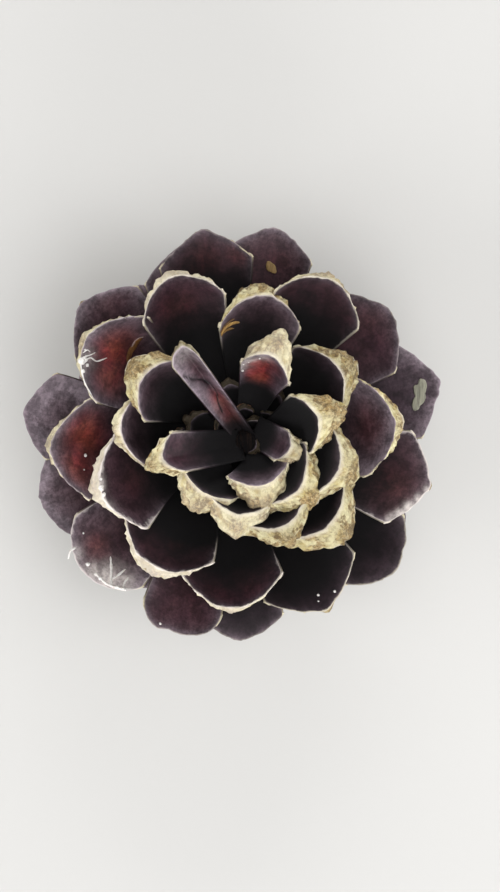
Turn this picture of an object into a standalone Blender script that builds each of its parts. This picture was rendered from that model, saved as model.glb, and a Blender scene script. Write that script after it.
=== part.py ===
"""Pine cone, open and ripe, standing on its base: one woody axis with its spiral of scales.

Metres, +Z up. The axis of the cone is the Z axis, and the stalk scar and the lowest scales
stand on Z = 0. Scales are numbered from the tip of the cone (0) down to its base.
"""
import math
import random

import bmesh
import bpy
import numpy as np

MM = 0.001

# How the cone grew
SCALES = 92
GOLDEN_ANGLE = 137.508
FIRST_AZIMUTH = -26.5
VARIATION_SEED = 7100

# Each curve runs through (scale number, value). Angles are in degrees, sizes in millimetres.
RISE = ((0, 78), (8, 66), (16, 54), (25, 44), (36, 39), (41, 31), (45, 26), (50, 17), (54, 8),
        (60, -4), (70, -20), (78, -34), (86, -46), (92, -40))
BEND = ((0, 6), (10, 18), (24, 28), (40, 26), (56, 20), (70, 8), (86, -6))
LENGTH = ((0, 4), (6, 10), (12, 13.5), (20, 17), (30, 21.5), (36, 25), (41, 27.5), (47, 29),
          (54, 29.5), (60, 26), (70, 22.5), (78, 17.5), (86, 10.5), (92, 7.5))
WIDTH = ((0, 7), (6, 9), (14, 11), (24, 13), (34, 14.5), (46, 16), (62, 16), (76, 13), (86, 8.5), (92, 6.5))
SHIELD = ((0, 3.2), (8, 4.6), (22, 5.2), (40, 4.6), (70, 4.2), (92, 2))
SHIELD_TAPER = ((0, 0.58), (24, 0.64), (40, 1.15), (92, 1.2))
UNDERCUT = ((0, 4), (22, 8), (34, 34), (60, 38), (86, 38))
BULGE = ((0, 0.22), (28, 0.2), (41, 0.06), (60, 0.05), (92, 0.15))
HEIGHT = ((0, 45), (10, 42), (20, 37.5), (36, 28.5), (60, 18.5), (86, 8), (92, 5))
AXIS_RADIUS = ((0, 1), (6, 2.6), (30, 5), (70, 5.8), (84, 5), (92, 3.6))
CUP = ((0, 0.16), (14, 0.26), (38, 0.28), (46, 0.18), (60, 0.13), (86, 0.13))

# The side that has opened furthest, and how far it leans out beyond the rest
OPEN_AZIMUTH = 95
OPEN_RISE = 12
# The lower scales have sagged a little towards one side
SAG = 6.5
SAG_AZIMUTH = 2

# One scale: shares of its length and width, and thicknesses in millimetres
ROOT_SUNK = 1.2
ROOT_WIDTH = 0.22
FRONT = 0.32
BLADE_AT_ROOT = 2.0
BLADE_AT_END = 1.5
EDGE = 0.9
SHIELD_REACH = 5.0

# Scales that grew or opened unlike the rule: degrees and millimetres
SINGLE_SCALES = {
    0: {"rise": 78, "length": 3.2, "width": 2.6, "shield": 1.1, "height": 42},
    1: {"rise": 60, "length": 3.4, "width": 2.8, "shield": 1.1, "height": 41},
    2: {"rise": 50, "length": 3.6, "width": 3, "shield": 1.2, "height": 40.5},
    3: {"azimuth": -77, "rise": 60, "bend": 30, "length": 8.8, "width": 9.8, "roll": 0,
        "shield": 5, "offset": 0.7},
    4: {"rise": 46, "length": 3.6, "width": 3, "shield": 1.2, "height": 40},
    5: {"azimuth": -28, "rise": 50, "bend": 30, "length": 7.5, "width": 5.3, "roll": 4,
        "root": 0.9, "shield": 5.2, "offset": 2.3, "axis": 1.4, "height": 44.2},
    6: {"azimuth": 242, "rise": 50, "bend": 30, "length": 10.9, "width": 11, "cup": 0.12,
        "height": 43.2, "offset": -2.6},
    7: {"rise": 44, "length": 3.6, "width": 3, "shield": 1.2, "height": 39.5},
    8: {"azimuth": -40, "rise": 54, "bend": 30, "length": 12.2, "width": 12.5},
    9: {"azimuth": 187, "rise": 38, "bend": 24, "length": 14.8, "width": 6.8, "roll": 20,
        "offset": 0.4, "root": 0.8, "fold": 12, "axis": 2, "shield": 4, "height": 44.8},
    10: {"rise": 40, "length": 4, "width": 3.4, "shield": 1.3, "height": 39},
    11: {"azimuth": 261, "rise": 55, "bend": 30, "length": 13, "width": 12.2, "shield": 4.5,
         "roll": 1},
    12: {"azimuth": 128, "rise": 32, "bend": -12, "length": 20.6, "width": 6, "roll": -20,
         "fold": 42, "shield": 1.2, "axis": 1.2, "height": 42.8, "cup": 0.1, "root": 0.75,
         "point": 2.2, "corner": 0.6, "offset": -0.9},
    13: {"azimuth": -13, "rise": 47, "length": 15.7, "width": 14, "shield": 4.5},
    14: {"azimuth": 208, "rise": 34, "length": 7, "width": 6, "shield": 3},
    15: {"azimuth": 75.5, "rise": 48, "bend": 50, "length": 15.5, "width": 8.2, "roll": -10,
         "shield": 4.8, "point": 2.1, "corner": 0.5, "root": 0.45},
    16: {"azimuth": 291, "rise": 53, "bend": 30, "length": 16.2, "width": 13.4, "shield": 3.8},
    17: {"azimuth": 158, "rise": 30, "length": 5.5, "width": 5, "shield": 2},
    18: {"azimuth": 16, "rise": 56, "bend": 40, "length": 12.6, "width": 9.6, "point": 2.3,
         "corner": 0.5, "height": 42.4, "shield": 5.2, "offset": 1.2},
    19: {"azimuth": 241, "rise": 38, "length": 6.5, "width": 6, "shield": 2.4},
    20: {"azimuth": 103, "rise": 22, "length": 5, "width": 5, "shield": 2},
    21: {"azimuth": -43.5, "rise": 46, "bend": 30, "length": 19.2, "width": 17.6, "point": 1.9},
    22: {"azimuth": 190, "rise": 32, "length": 9, "width": 8, "shield": 3.5},
    23: {"azimuth": 52, "rise": 30, "length": 5.5, "width": 5.5, "shield": 2.2},
    24: {"azimuth": -87, "rise": 28, "length": 8.2, "width": 8, "shield": 2.6},
    25: {"azimuth": 146, "rise": 42, "length": 19.5, "width": 11.4, "shield": 4.7, "point": 2.3,
         "corner": 0.5},
    26: {"rise": 28, "length": 9.5, "width": 8, "shield": 3},
    27: {"rise": 28, "length": 6.5, "width": 6, "shield": 2.4},
    28: {"turn": 1, "lean": 5, "width": 13, "point": 2.2, "corner": 0.52},
    29: {"rise": 24, "length": 14, "width": 11, "shield": 3},
    30: {"azimuth": 173, "rise": 43, "length": 20, "width": 12.6, "point": 2.3, "shield": 2.2,
         "roll": 10, "corner": 0.5},
    31: {"azimuth": 38, "rise": 52, "length": 21.3, "width": 13.4, "point": 2.3, "corner": 0.5,
         "shield": 4.8, "roll": -11},
    32: {"rise": 24, "length": 8.2, "width": 8, "shield": 2.6},
    33: {"turn": -2.5, "lean": 9, "length": 24.8, "width": 13.6, "point": 2.3, "corner": 0.62},
    34: {"rise": 25, "length": 14.5, "width": 12},
    35: {"turn": -9, "lean": 4, "length": 23.3, "width": 16, "shield": 4, "point": 1.8},
    36: {"turn": 1, "lean": 5, "length": 26.5, "point": 2.2},
    37: {"rise": 20, "length": 11.5, "width": 10, "shield": 3},
    38: {"turn": -8, "lean": 2, "length": 26.2, "width": 15.5, "point": 2.3, "corner": 0.6},
    39: {"azimuth": 6, "rise": 43, "length": 24.9, "point": 2.2, "corner": 0.6, "shield": 5},
    40: {"turn": -2, "length": 24.9, "point": 2.2, "roll": 9},
    41: {"rise": 9, "turn": 3, "length": 29, "point": 1.2},
    42: {"azimuth": -41, "rise": 13, "length": 28.5},
    43: {"turn": -8, "length": 28.1},
    45: {"turn": -4, "length": 26, "point": 2.2},
    46: {"turn": 2},
    47: {"length": 28.4, "point": 1.2},
    48: {"azimuth": 222, "rise": 15, "length": 27.8, "point": 2.6, "corner": 0.7},
    49: {"turn": 5, "width": 13.5, "point": 1.3},
    50: {"lean": -2, "length": 28.7},
    51: {"turn": 2, "point": 1.1, "width": 14, "offset": 1.8},
    52: {"turn": -5, "length": 29.3, "point": 1.15, "corner": 0.85},
    53: {"turn": 7, "lean": -3, "length": 28.6, "width": 12.8, "point": 5, "corner": 0.7,
         "offset": -1.8},
    54: {"turn": -9.5, "rise": 2, "length": 26.3},
    55: {"turn": -1, "length": 27},
    56: {"length": 27.4},
    57: {"length": 22},
    58: {"turn": -6, "rise": -2, "length": 28.5, "width": 13},
    59: {"length": 22},
}

# The axis as a turned body: (height, radius) in millimetres, from below the stalk scar to the tip
AXIS_PROFILE = ((-1, 3.6), (2, 3.3), (4, 3.9), (8, 5), (17, 5.6), (27, 5), (35, 4), (41, 2.8),
                (44.5, 1.5))
AXIS_SIDES = 14

# Mesh of a scale: rows as shares of the way to its shield, and columns across it
ROWS_TO_SHIELD = (0.5, 1)
COLUMNS = (-1, -0.68, 0, 0.68, 1)
COLUMNS_OF_SMALL = (-1, 0, 1)
SMALL_WIDTH = 8.2

# Ground cut, in millimetres
CUTTER_WIDTH = 120
CUTTER_DEPTH = 20

WOOD_COLOUR = (0.085, 0.045, 0.048)
WOOD_ROUGHNESS = 0.62
SHARP_ANGLE = 35


def curve(points, number):
    """Value of the smooth curve through points at a scale's number."""
    last = len(points) - 1
    if number <= points[0][0]:
        return points[0][1]
    if number >= points[last][0]:
        return points[last][1]
    k = max(j for j in range(last) if points[j][0] <= number)

    def slope(j):
        low, high = max(j - 1, 0), min(j + 1, last)
        return (points[high][1] - points[low][1]) / (points[high][0] - points[low][0])

    (x0, y0), (x1, y1) = points[k], points[k + 1]
    h = x1 - x0
    t = (number - x0) / h
    return ((2 * t**3 - 3 * t**2 + 1) * y0 + (t**3 - 2 * t**2 + t) * h * slope(k)
            + (3 * t**2 - 2 * t**3) * y1 + (t**3 - t**2) * h * slope(k + 1))


def share(value):
    return max(0.0, min(1.0, value))


def grow_scale(number):
    """Place and size of one scale, in degrees and millimetres."""
    draw = random.Random(VARIATION_SEED + number)
    azimuth = FIRST_AZIMUTH - GOLDEN_ANGLE * number
    lower = share((number - 28) / 16)
    azimuth += lower * (SAG_AZIMUTH - SAG * math.cos(math.radians(azimuth)))
    opened = math.cos(math.radians(azimuth - OPEN_AZIMUTH))
    opened *= share((number - 4) / 8) * share((58 - number) / 8)
    scale = {
        "number": number,
        "azimuth": azimuth + draw.uniform(-2.5, 2.5),
        "rise": curve(RISE, number) - OPEN_RISE * opened + draw.uniform(-3, 3),
        "bend": curve(BEND, number),
        "length": curve(LENGTH, number) * draw.uniform(0.97, 1.03),
        "width": curve(WIDTH, number) * draw.uniform(0.94, 1.06),
        "height": curve(HEIGHT, number),
        "axis": curve(AXIS_RADIUS, number),
        "roll": draw.uniform(-9, 9),
        "cup": curve(CUP, number) * draw.uniform(0.8, 1.2),
        "point": draw.uniform(1.2, 2.0),
        "corner": draw.uniform(0.70, 0.95) - 0.2 * share((40 - number) / 10),
        "skew": draw.uniform(-0.12, 0.12),
        "root": ROOT_WIDTH,
        "shield": curve(SHIELD, number),
        "taper": curve(SHIELD_TAPER, number),
        "undercut": curve(UNDERCUT, number),
        "bulge": curve(BULGE, number),
        "fold": 0,
        "offset": 0,
        "tone": draw.random(),
    }
    own = dict(SINGLE_SCALES.get(number, {}))
    scale["azimuth"] += own.pop("turn", 0)
    scale["rise"] -= own.pop("lean", 0)
    scale.update(own)
    return scale


def scale_surface(scale, along, across, depth):
    """Points on a scale's skin, in metres.

    along runs from the root (0) to the front edge (1), across from side to side (-1 to 1), and
    depth from the inner face (0), which looks up the cone, to the outer face (1).
    """
    length, width = scale["length"], scale["width"]
    half = width / 2
    side = np.abs(across)

    # Plan: a narrow root, widest near the end, and an angular front
    widest = 1 - FRONT * width / length
    front = widest + (1 - widest) * (1 - side ** scale["point"]) ** scale["corner"]
    root = -ROOT_SUNK / length
    u = root + (front - root) * along
    spread = np.clip(u / widest, 0, 1)
    wide = scale["root"] + (1 - scale["root"]) * (1 - (1 - spread) ** 1.3)
    y = half * wide * across
    y = y + scale["skew"] * half * np.clip(u, 0, 1) ** 2

    # Thickness: a thin blade that ends in a thick shield, keeled across
    shield_share = 1 - np.clip(length * (front - u) / SHIELD_REACH, 0, 1)
    blade = BLADE_AT_ROOT + (BLADE_AT_END - BLADE_AT_ROOT) * np.clip(u / 0.6, 0, 1)
    blade = blade * (1 - 0.45 * side ** 2)
    shield = EDGE + (scale["shield"] - EDGE) * (1 - side ** 1.4) ** scale["taper"]
    thick = blade + (shield - blade) * (1 - (1 - shield_share) ** 0.8)
    thick = np.maximum(thick, EDGE)
    fold = math.radians(scale["fold"])
    below = thick * depth / math.cos(fold)

    # The shield's face leans back under the blade and bulges at its keel
    along_push = scale["bulge"] * thick * np.sin(np.pi * depth) * (1 - 0.5 * side)
    along_push = (along_push - math.tan(math.radians(scale["undercut"])) * below) * shield_share

    # Cupped across, or folded along its midline
    lift = scale["cup"] * 2 * y ** 2 / half * (0.35 + 0.65 * np.clip(u, 0, 1))
    lift = lift + np.abs(y) * math.sin(fold) - below
    y = y * math.cos(fold)
    roll = math.radians(scale["roll"])
    y, lift = y * math.cos(roll) - lift * math.sin(roll), y * math.sin(roll) + lift * math.cos(roll)

    # Bent upwards along its length
    bend = math.radians(scale["bend"])
    start = math.radians(scale["rise"]) - bend / 2
    angle = start + bend * u
    radius = length / bend
    out = radius * (np.sin(angle) - math.sin(start)) + along_push * np.cos(angle)
    up = -radius * (np.cos(angle) - math.cos(start)) + along_push * np.sin(angle)
    out = scale["axis"] + out - lift * np.sin(angle)
    up = scale["height"] + up + lift * np.cos(angle)

    azimuth = math.radians(scale["azimuth"])
    y = y + scale["offset"]
    x = out * math.cos(azimuth) - y * math.sin(azimuth)
    y = out * math.sin(azimuth) + y * math.cos(azimuth)
    return np.stack((x, y, up), axis=-1) * MM


def scale_rows(scale):
    """Places along a scale where its mesh has a row of points."""
    shield_start = 1 - SHIELD_REACH * 0.9 / scale["length"]
    return [0] + [share_of * shield_start for share_of in ROWS_TO_SHIELD] + [1]


def scale_mesh(scale):
    """One scale as a closed mesh, split into triangles alike on both faces."""
    rows = scale_rows(scale)
    columns = COLUMNS_OF_SMALL if scale["width"] < SMALL_WIDTH else COLUMNS
    mesh = bmesh.new()
    grid = {}
    for depth in (0, 1):
        for i, along in enumerate(rows):
            points = scale_surface(scale, np.full(len(columns), along), np.array(columns),
                                   np.full(len(columns), float(depth)))
            for j, point in enumerate(points):
                grid[i, j, depth] = mesh.verts.new(point)

    def quad(a, b, c, d):
        mesh.faces.new((a, b, c))
        mesh.faces.new((a, c, d))

    last_row, last_column = len(rows) - 1, len(columns) - 1
    for i in range(last_row):
        for j in range(last_column):
            a, b, c, d = (i, j), (i + 1, j), (i + 1, j + 1), (i, j + 1)
            quad(*(grid[corner + (0,)] for corner in (a, b, c, d)))
            mesh.faces.new([grid[corner + (1,)] for corner in (a, c, b)])
            mesh.faces.new([grid[corner + (1,)] for corner in (a, d, c)])
    for i in range(last_row):
        quad(grid[i, 0, 1], grid[i + 1, 0, 1], grid[i + 1, 0, 0], grid[i, 0, 0])
        quad(grid[i, last_column, 0], grid[i + 1, last_column, 0],
             grid[i + 1, last_column, 1], grid[i, last_column, 1])
    for j in range(last_column):
        quad(grid[0, j, 1], grid[0, j, 0], grid[0, j + 1, 0], grid[0, j + 1, 1])
        quad(grid[last_row, j, 0], grid[last_row, j, 1],
             grid[last_row, j + 1, 1], grid[last_row, j + 1, 0])
    return mesh


def mesh_object(name, mesh, collection):
    """New object of a bmesh, which is freed."""
    data = bpy.data.meshes.new(name)
    mesh.to_mesh(data)
    mesh.free()
    made = bpy.data.objects.new(name, data)
    collection.objects.link(made)
    return made


def axis_mesh():
    """The woody axis: a turned body from the stalk scar to the tip, closed at both ends."""
    mesh = bmesh.new()
    rings = []
    for height, radius in AXIS_PROFILE:
        rings.append([mesh.verts.new((radius * MM * math.cos(2 * math.pi * k / AXIS_SIDES),
                                      radius * MM * math.sin(2 * math.pi * k / AXIS_SIDES),
                                      height * MM)) for k in range(AXIS_SIDES)])
    for low, high in zip(rings, rings[1:]):
        for k in range(AXIS_SIDES):
            after = (k + 1) % AXIS_SIDES
            mesh.faces.new((low[k], low[after], high[after], high[k]))
    mesh.faces.new(list(reversed(rings[0])))
    mesh.faces.new(rings[-1])
    return mesh


def ground_cutter(collection):
    """Block below Z = 0, which cuts the standing points flat."""
    mesh = bmesh.new()
    bmesh.ops.create_cube(mesh, size=1)
    for corner in mesh.verts:
        corner.co.x *= CUTTER_WIDTH * MM
        corner.co.y *= CUTTER_WIDTH * MM
        corner.co.z = (corner.co.z - 0.5) * CUTTER_DEPTH * MM
    cutter = mesh_object("ground_cutter", mesh, collection)
    cutter.hide_render = True
    cutter.display_type = "WIRE"
    return cutter


def apply_modifiers(target):
    """Replace an object's mesh by its evaluated one."""
    graph = bpy.context.evaluated_depsgraph_get()
    result = bpy.data.meshes.new_from_object(target.evaluated_get(graph))
    target.modifiers.clear()
    target.data = result


def keep_largest_body(target):
    """Drop loose scraps, and fill sealed hollows by dropping the skins that line them."""
    mesh = bmesh.new()
    mesh.from_mesh(target.data)
    left = set(mesh.faces)
    bodies = []
    while left:
        body, edge = set(), [left.pop()]
        while edge:
            face = edge.pop()
            body.add(face)
            for neighbour in {n for e in face.edges for n in e.link_faces}:
                if neighbour in left:
                    left.discard(neighbour)
                    edge.append(neighbour)
        bodies.append(body)
    bodies.sort(key=len)
    for body in bodies[:-1]:
        bmesh.ops.delete(mesh, geom=list(body), context="FACES")
    loose = [corner for corner in mesh.verts if not corner.link_faces]
    bmesh.ops.delete(mesh, geom=loose, context="VERTS")
    bmesh.ops.triangulate(mesh, faces=mesh.faces)
    mesh.to_mesh(target.data)
    mesh.free()


def wood_material():
    """Plum-brown wood of the cone."""
    material = bpy.data.materials.new("cone_wood")
    material.use_nodes = True
    shader = material.node_tree.nodes["Principled BSDF"]
    shader.inputs["Base Color"].default_value = (*WOOD_COLOUR, 1)
    shader.inputs["Roughness"].default_value = WOOD_ROUGHNESS
    shader.inputs["Metallic"].default_value = 0
    return material


def remove_objects(objects):
    for item in list(objects):
        bpy.data.objects.remove(item, do_unlink=True)


def build():
    remove_objects(bpy.data.objects)
    scene = bpy.context.scene.collection
    grown = bpy.data.collections.new("scales")
    scene.children.link(grown)
    for number in range(SCALES):
        mesh_object(f"scale_{number}", scale_mesh(grow_scale(number)), grown)

    cone = mesh_object("cone", axis_mesh(), scene)
    union = cone.modifiers.new("scales", "BOOLEAN")
    union.operation = "UNION"
    union.solver = "EXACT"
    union.operand_type = "COLLECTION"
    union.collection = grown
    apply_modifiers(cone)
    remove_objects(grown.objects)
    bpy.data.collections.remove(grown)

    cutter = ground_cutter(scene)
    cut = cone.modifiers.new("ground", "BOOLEAN")
    cut.operation = "DIFFERENCE"
    cut.solver = "EXACT"
    cut.object = cutter
    apply_modifiers(cone)
    remove_objects([cutter])

    keep_largest_body(cone)
    cone.data.materials.clear()
    cone.data.materials.append(wood_material())
    cone.data.shade_smooth()
    cone.data.set_sharp_from_angle(angle=math.radians(SHARP_ANGLE))


build()
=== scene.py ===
"""Looks of the open pine cone: fine scales, axis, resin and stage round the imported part.

Metres, +Z up, in the part's own frame. Scales are numbered from the tip (0) down to the base, and
every fine scale grows by the same rule and in the same place as its solid.
"""
import math
import random

import bpy
import numpy as np
from bpy.props import FloatProperty, FloatVectorProperty, PointerProperty
from mathutils import Matrix, Vector


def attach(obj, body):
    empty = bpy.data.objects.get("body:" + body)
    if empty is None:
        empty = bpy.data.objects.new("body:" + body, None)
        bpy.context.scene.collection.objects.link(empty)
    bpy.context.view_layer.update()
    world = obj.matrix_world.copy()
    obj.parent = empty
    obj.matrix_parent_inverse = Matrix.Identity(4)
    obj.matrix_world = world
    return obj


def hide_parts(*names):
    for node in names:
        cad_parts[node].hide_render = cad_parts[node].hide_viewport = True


bl_info = {
    "name": "Open pine cone",
    "version": (1, 0, 0),
    "blender": (4, 5, 0),
    "location": "View3D > Sidebar > Pine cone",
    "description": "Fine scales, axis, resin and a plain stage for the open pine cone",
    "category": "Object",
}

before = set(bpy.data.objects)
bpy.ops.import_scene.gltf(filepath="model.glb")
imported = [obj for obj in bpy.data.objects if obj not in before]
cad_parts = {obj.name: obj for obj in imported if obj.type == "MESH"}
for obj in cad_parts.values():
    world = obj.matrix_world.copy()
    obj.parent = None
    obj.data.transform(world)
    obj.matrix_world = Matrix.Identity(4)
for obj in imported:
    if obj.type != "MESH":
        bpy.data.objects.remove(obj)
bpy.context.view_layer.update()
NODE = "cone"

MM = 0.001

# How the cone grew. Angles are in degrees, sizes in millimetres, unless a name says otherwise.
SCALES = 92
GOLDEN_ANGLE = 137.508
FIRST_AZIMUTH = -26.5
VARIATION_SEED = 7100

# The rule for a scale: smooth curves through (scale number, value)
GROWTH = {
    "rise": ((0, 78), (8, 66), (16, 54), (25, 44), (36, 39), (41, 31), (45, 26), (50, 17), (54, 8),
             (60, -4), (70, -20), (78, -34), (86, -46), (92, -40)),
    "bend": ((0, 6), (10, 18), (24, 28), (40, 26), (56, 20), (70, 8), (86, -6)),
    "length": ((0, 4), (6, 10), (12, 13.5), (20, 17), (30, 21.5), (36, 25), (41, 27.5), (47, 29),
               (54, 29.5), (60, 26), (70, 22.5), (78, 17.5), (86, 10.5), (92, 7.5)),
    "width": ((0, 7), (6, 9), (14, 11), (24, 13), (34, 14.5), (46, 16), (62, 16), (76, 13),
              (86, 8.5), (92, 6.5)),
    "shield": ((0, 3.2), (8, 4.6), (22, 5.2), (40, 4.6), (70, 4.2), (92, 2)),
    "taper": ((0, 0.58), (24, 0.64), (40, 1.15), (92, 1.2)),
    "undercut": ((0, 4), (22, 8), (34, 34), (60, 38), (86, 38)),
    "bulge": ((0, 0.22), (28, 0.2), (41, 0.06), (60, 0.05), (92, 0.15)),
    "height": ((0, 45), (10, 42), (20, 37.5), (36, 28.5), (60, 18.5), (86, 8), (92, 5)),
    "axis": ((0, 1), (6, 2.6), (30, 5), (70, 5.8), (84, 5), (92, 3.6)),
    "cup": ((0, 0.16), (14, 0.26), (38, 0.28), (46, 0.18), (60, 0.13), (86, 0.13)),
    "root": ((0, 0.22),),
}
# How far scales stray from the rule, in the order of drawing: these added, and those as a factor
STRAY = {"azimuth": (-2.5, 2.5), "rise": (-3, 3), "length": (0.97, 1.03), "width": (0.94, 1.06),
         "roll": (-9, 9), "cup": (0.8, 1.2), "point": (1.2, 2.0), "corner": (0.70, 0.95),
         "skew": (-0.12, 0.12)}
STRAY_FACTORS = ("length", "width", "cup")

# The side that has opened furthest, how far it leans out beyond the rest, and between which scales
OPEN_AZIMUTH = 95
OPEN_RISE = 12
OPEN_SCALES = (4, 58)
OPEN_FADE = 8
# The lower scales have sagged a little towards one side, from a scale on and fully some later
SAG = 6.5
SAG_AZIMUTH = 2
SAG_FROM = 28
SAG_FADE = 16
# Scales nearer the tip than this have blunter corners
BLUNT_BEFORE = 40

# Scales that grew or opened unlike the rule: a turn or a lean beyond it, or values of their own
OWN_GROWTH = {
    "turn": {28: 1, 33: -2.5, 35: -9, 36: 1, 38: -8, 40: -2, 41: 3, 43: -8, 45: -4, 46: 2, 49: 5,
        51: 2, 52: -5, 53: 7, 54: -9.5, 55: -1, 58: -6},
    "lean": {28: 5, 33: 9, 35: 4, 36: 5, 38: 2, 50: -2, 53: -3},
    "azimuth": {3: -77, 5: -28, 6: 242, 8: -40, 9: 187, 11: 261, 12: 128, 13: -13, 14: 208,
        15: 75.5, 16: 291, 17: 158, 18: 16, 19: 241, 20: 103, 21: -43.5, 22: 190, 23: 52, 24: -87,
        25: 146, 30: 173, 31: 38, 39: 6, 42: -41, 48: 222},
    "rise": {0: 78, 1: 60, 2: 50, 3: 60, 4: 46, 5: 50, 6: 50, 7: 44, 8: 54, 9: 38, 10: 40, 11: 55,
        12: 32, 13: 47, 14: 34, 15: 48, 16: 53, 17: 30, 18: 56, 19: 38, 20: 22, 21: 46, 22: 32,
        23: 30, 24: 28, 25: 42, 26: 28, 27: 28, 29: 24, 30: 43, 31: 52, 32: 24, 34: 25, 37: 20,
        39: 43, 41: 9, 42: 13, 48: 15, 54: 2, 58: -2},
    "bend": {3: 30, 5: 30, 6: 30, 8: 30, 9: 24, 11: 30, 12: -12, 15: 50, 16: 30, 18: 40, 21: 30},
    "length": {0: 3.2, 1: 3.4, 2: 3.6, 3: 8.8, 4: 3.6, 5: 7.5, 6: 10.9, 7: 3.6, 8: 12.2, 9: 14.8,
        10: 4, 11: 13, 12: 20.6, 13: 15.7, 14: 7, 15: 15.5, 16: 16.2, 17: 5.5, 18: 12.6, 19: 6.5,
        20: 5, 21: 19.2, 22: 9, 23: 5.5, 24: 8.2, 25: 19.5, 26: 9.5, 27: 6.5, 29: 14, 30: 20,
        31: 21.3, 32: 8.2, 33: 24.8, 34: 14.5, 35: 23.3, 36: 26.5, 37: 11.5, 38: 26.2, 39: 24.9,
        40: 24.9, 41: 29, 42: 28.5, 43: 28.1, 45: 26, 47: 28.4, 48: 27.8, 50: 28.7, 52: 29.3,
        53: 28.6, 54: 26.3, 55: 27, 56: 27.4, 57: 22, 58: 28.5, 59: 22},
    "width": {0: 2.6, 1: 2.8, 2: 3, 3: 9.8, 4: 3, 5: 5.3, 6: 11, 7: 3, 8: 12.5, 9: 6.8, 10: 3.4,
        11: 12.2, 12: 6, 13: 14, 14: 6, 15: 8.2, 16: 13.4, 17: 5, 18: 9.6, 19: 6, 20: 5, 21: 17.6,
        22: 8, 23: 5.5, 24: 8, 25: 11.4, 26: 8, 27: 6, 28: 13, 29: 11, 30: 12.6, 31: 13.4, 32: 8,
        33: 13.6, 34: 12, 35: 16, 37: 10, 38: 15.5, 49: 13.5, 51: 14, 53: 12.8, 58: 13},
    "root": {5: 0.9, 9: 0.8, 12: 0.75, 15: 0.45},
    "axis": {5: 1.4, 9: 2, 12: 1.2},
    "height": {0: 42, 1: 41, 2: 40.5, 4: 40, 5: 44.2, 6: 43.2, 7: 39.5, 9: 44.8, 10: 39, 12: 42.8,
        18: 42.4},
    "offset": {3: 0.7, 5: 2.3, 6: -2.6, 9: 0.4, 12: -0.9, 18: 1.2, 51: 1.8, 53: -1.8},
    "roll": {3: 0, 5: 4, 9: 20, 11: 1, 12: -20, 15: -10, 30: 10, 31: -11, 40: 9},
    "fold": {9: 12, 12: 42},
    "cup": {6: 0.12, 12: 0.1},
    "point": {12: 2.2, 15: 2.1, 18: 2.3, 21: 1.9, 25: 2.3, 28: 2.2, 30: 2.3, 31: 2.3, 33: 2.3,
        35: 1.8, 36: 2.2, 38: 2.3, 39: 2.2, 40: 2.2, 41: 1.2, 45: 2.2, 47: 1.2, 48: 2.6, 49: 1.3,
        51: 1.1, 52: 1.15, 53: 5},
    "corner": {12: 0.6, 15: 0.5, 18: 0.5, 25: 0.5, 28: 0.52, 30: 0.5, 31: 0.5, 33: 0.62, 38: 0.6,
        39: 0.6, 48: 0.7, 52: 0.85, 53: 0.7},
    "shield": {0: 1.1, 1: 1.1, 2: 1.2, 3: 5, 4: 1.2, 5: 5.2, 7: 1.2, 9: 4, 10: 1.3, 11: 4.5,
        12: 1.2, 13: 4.5, 14: 3, 15: 4.8, 16: 3.8, 17: 2, 18: 5.2, 19: 2.4, 20: 2, 22: 3.5, 23: 2.2,
        24: 2.6, 25: 4.7, 26: 3, 27: 2.4, 29: 3, 30: 2.2, 31: 4.8, 32: 2.6, 35: 4, 37: 3, 39: 5},
}

# Groups of scales, each one piece: name, first scale, first scale of the next group
SCALE_GROUPS = {
    "crown_scales": (0, 26),
    "middle_scales": (26, 46),
    "outer_scales": (46, 66),
    "base_scales": (66, SCALES),
}

# One scale: where it widens, as shares of its length and width, and thicknesses
ROOT_SUNK = 1.2
FRONT = 0.32
WIDENING = 1.3
BLADE_AT_ROOT = 2.0
BLADE_AT_END = 1.5
BLADE_EVEN_FROM = 0.6
BLADE_THINNING = 0.7
SHIELD_REACH = 5.0
SHIELD_ONSET = 0.8
SHIELD_OUTLINE = 1.4
CUP_AT_ROOT = 0.35
FINE_EDGE = 0.45
RIM_ROUNDING = 0.28
SIDE_ROUNDING = 0.4
SIDE_ROUNDING_REACH = 0.5

# Fine mesh of a scale: distances from its rim and sides, the most that they may take up of its
# length and half its width, then even steps
RIM_STEPS = (0, 0.07, 0.16, 0.3, 0.55, 0.9, 1.3, 1.8, 2.3, 2.9, 3.5, 4.2, 5.0)
RIM_SHARE = 0.45
SIDE_STEPS = (0, 0.07, 0.16, 0.3, 0.55)
SIDE_SHARE = 0.4
ROOT_STEPS = 18
CRACKED_ROOT_STEPS = 70
MIDDLE_STEPS = 30
DEPTH_STEPS = 11
OUTLINE_STEPS = 200

# Relief: lumps and grit on the shields, which fade out on the faces next to them, the boss near
# the middle of their depth, the keel, gentle waves and the grain of the inner faces
LUMP_SIZE = 0.95
LUMP_HEIGHT = 0.4
GRIT_SIZE = 0.5
GRIT_HEIGHT = 0.15
RELIEF_ON_INNER = 0.4
RELIEF_ON_BACK = 1.1
BOSS_RADIUS = 0.9
BOSS_HEIGHT = 0.45
BOSS_DEPTH = 0.52
KEEL_WIDTH = 0.22
KEEL_HEIGHT = 0.16
FULL_RELIEF_THICKNESS = 1.6
FULL_BOSS_SHIELD = 4.2
WAVE_SIZE = 5.0
WAVE_HEIGHT = 0.22
RIM_WAVE_SIZE = 1.6
RIM_WAVE_HEIGHT = 0.22
RIM_WAVE_REACH = 3.0
FACE_GRAIN = 0.03
GRAIN_PER_MM = (2.2, 0.25, 1)

# The axis, as (height, radius)
AXIS_PROFILE = ((0, 3.5), (2, 3.3), (4, 3.9), (8, 5), (17, 5.6), (27, 5), (35, 4), (41, 2.8),
                (44.5, 1.5))
AXIS_SIDES = 64
AXIS_STEPS = 3
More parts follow.
